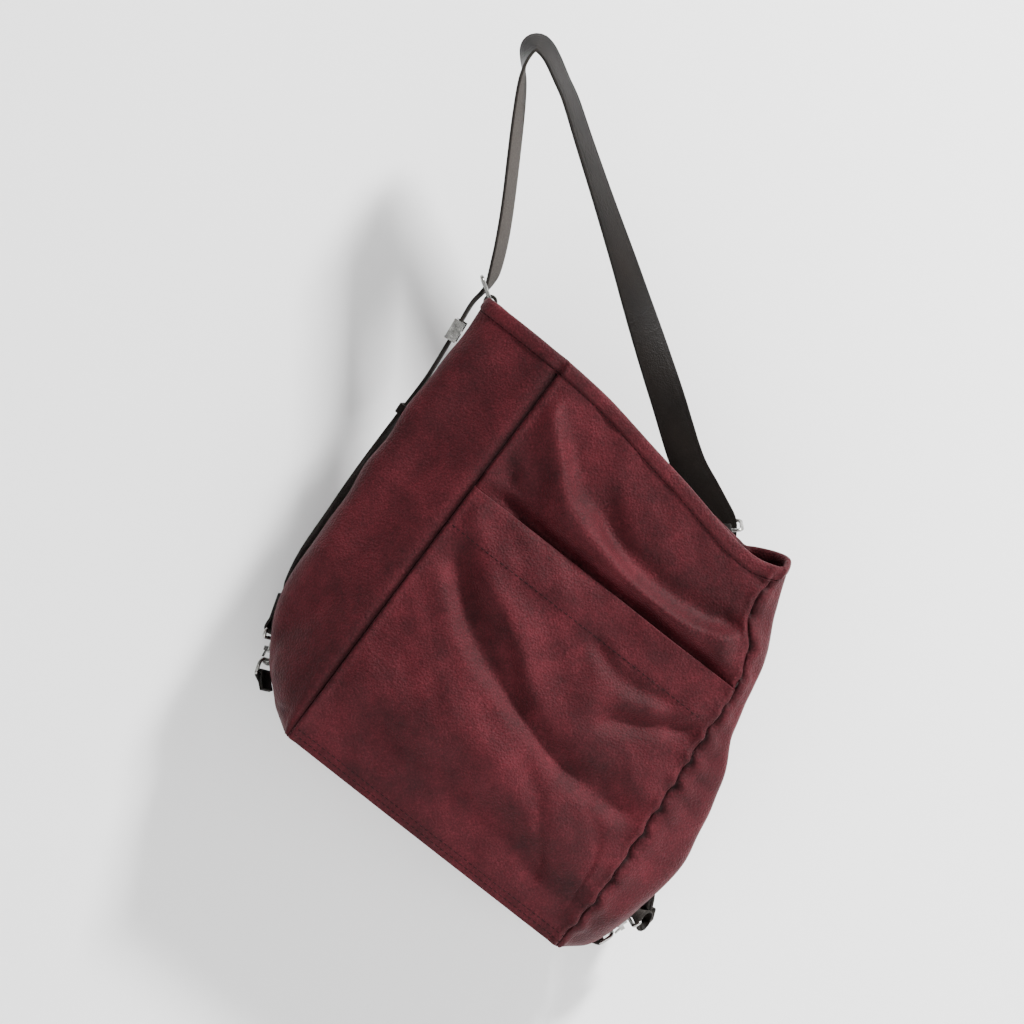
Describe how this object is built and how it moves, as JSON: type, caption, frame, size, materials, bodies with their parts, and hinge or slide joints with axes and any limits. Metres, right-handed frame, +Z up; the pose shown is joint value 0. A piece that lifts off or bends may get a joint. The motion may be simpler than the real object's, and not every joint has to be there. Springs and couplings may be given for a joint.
{
  "type": "hobo bag",
  "caption": "Slouchy shoulder bag in soft leather with a front slip pocket, padded rim, and one strap through top rings that clips to lower rings.",
  "frame": {"origin": "the point of the strap loop that bears on the peg", "axes": "+Z up as the bag hangs, +Y from the viewer to the wall, +X to the viewer's right; the bag's own upright is turned 38 degrees about +Y"},
  "size_m": [0.4578, 0.143, 0.7838],
  "materials": {
    "burgundy_leather": "waxed nubuck, soft sheen",
    "black_leather": "smooth, cut edges grey-brown",
    "lining_cloth": "matt woven cotton",
    "board": "matt fibre board",
    "nickel": "polished nickel"
  },
  "bodies": {
    "strap": {"shoulder_strap": "black_leather"},
    "bag": {"front_panel": "burgundy_leather", "front_pocket": "burgundy_leather", "back_panel": "burgundy_leather", "left_gusset": "burgundy_leather", "right_gusset": "burgundy_leather", "base_panel": "burgundy_leather", "rim_band": "burgundy_leather", "mouth_facing": "burgundy_leather", "lining": "lining_cloth", "base_board": "board", "inner_slip_pocket": "lining_cloth", "zip_pocket": "lining_cloth", "zip_tape": "lining_cloth", "zip_teeth": "nickel", "front_snap": "nickel", "back_snap": "nickel", "left_top_tab": "black_leather", "right_top_tab": "black_leather", "top_tab_rivets": "nickel", "left_low_tab": "black_leather", "right_low_tab": "black_leather", "left_swivel_eye": "nickel", "right_swivel_eye": "nickel", "left_strap_run": "black_leather", "right_strap_run": "black_leather", "left_keeper": "black_leather", "right_keeper": "black_leather"},
    "left_ring": {"left_ring": "nickel"},
    "right_ring": {"right_ring": "nickel"},
    "left_d_ring": {"left_d_ring": "nickel"},
    "right_d_ring": {"right_d_ring": "nickel"},
    "left_hook": {"left_hook": "nickel", "left_gate_pin": "nickel"},
    "right_hook": {"right_hook": "nickel", "right_gate_pin": "nickel"},
    "left_gate": {"left_gate": "nickel"},
    "right_gate": {"right_gate": "nickel"},
    "left_adjuster": {"left_adjuster": "nickel"},
    "right_adjuster": {"right_adjuster": "nickel"},
    "zip_slider": {"zip_slider": "nickel"},
    "zip_pull": {"zip_pull": "nickel"}
  },
  "joints": [
    {"name": "bag_swing", "type": "hinge", "parent": "strap", "child": "bag", "pos_m": [-0.03995, 0.018, -0.19859], "axis": [0.7033, 0.0159, -0.7107], "range_deg": [-14, 14]},
    {"name": "left_ring_tilt", "type": "hinge", "parent": "bag", "child": "left_ring", "pos_m": [-0.03637, 0.018, -0.209], "axis": [0, 1, 0], "range_deg": [-5, 5]},
    {"name": "right_ring_tilt", "type": "hinge", "parent": "bag", "child": "right_ring", "pos_m": [0.1595, 0.0123, -0.40408], "axis": [0.999, 0, 0.0436], "range_deg": [-5, 5]},
    {"name": "left_d_ring_swing", "type": "hinge", "parent": "bag", "child": "left_d_ring", "pos_m": [-0.23318, 0.064, -0.52795], "axis": [0.4755, 0.866, -0.1545], "range_deg": [-3, 3]},
    {"name": "left_hook_swivel", "type": "hinge", "parent": "bag", "child": "left_hook", "pos_m": [-0.22527, 0.064, -0.5036], "axis": [0.309, 0, 0.9511], "range_deg": [-10, 10]},
    {"name": "left_gate_open", "type": "hinge", "parent": "left_hook", "child": "left_gate", "pos_m": [-0.23001, 0.0662, -0.50585], "axis": [-0.4755, -0.866, 0.1545], "range_deg": [0, 18], "stiffness_Nm_per_rad": 0.004, "springref_deg": -22.92},
    {"name": "right_d_ring_swing", "type": "hinge", "parent": "bag", "child": "right_d_ring", "pos_m": [0.05627, 0.07, -0.756], "axis": [-0.2239, 0.9063, 0.3584], "range_deg": [-3, 3]},
    {"name": "right_hook_swivel", "type": "hinge", "parent": "bag", "child": "right_hook", "pos_m": [0.07798, 0.07, -0.74243], "axis": [0.848, 0, 0.5299], "range_deg": [-10, 10]},
    {"name": "right_gate_open", "type": "hinge", "parent": "right_hook", "child": "right_gate", "pos_m": [0.07704, 0.07186, -0.74772], "axis": [-0.2239, 0.9063, 0.3584], "range_deg": [0, 18], "stiffness_Nm_per_rad": 0.004, "springref_deg": -22.92},
    {"name": "left_adjuster_slide", "type": "slide", "parent": "bag", "child": "left_adjuster", "axis": [0.5146, -0.0825, 0.8535], "range_m": [-0.015, 0.01]},
    {"name": "right_adjuster_slide", "type": "slide", "parent": "bag", "child": "right_adjuster", "axis": [0.1652, -0.1975, 0.9663], "range_m": [-0.008, 0.008]},
    {"name": "zip_slide", "type": "slide", "parent": "bag", "child": "zip_slider", "axis": [0.7868, 0, -0.6172], "range_m": [0, 0.12]},
    {"name": "zip_pull_swing", "type": "hinge", "parent": "zip_slider", "child": "zip_pull", "pos_m": [-0.02404, 0.01351, -0.38481], "axis": [0.1283, 0.9781, 0.1636], "range_deg": [-60, 60]}
  ]
}
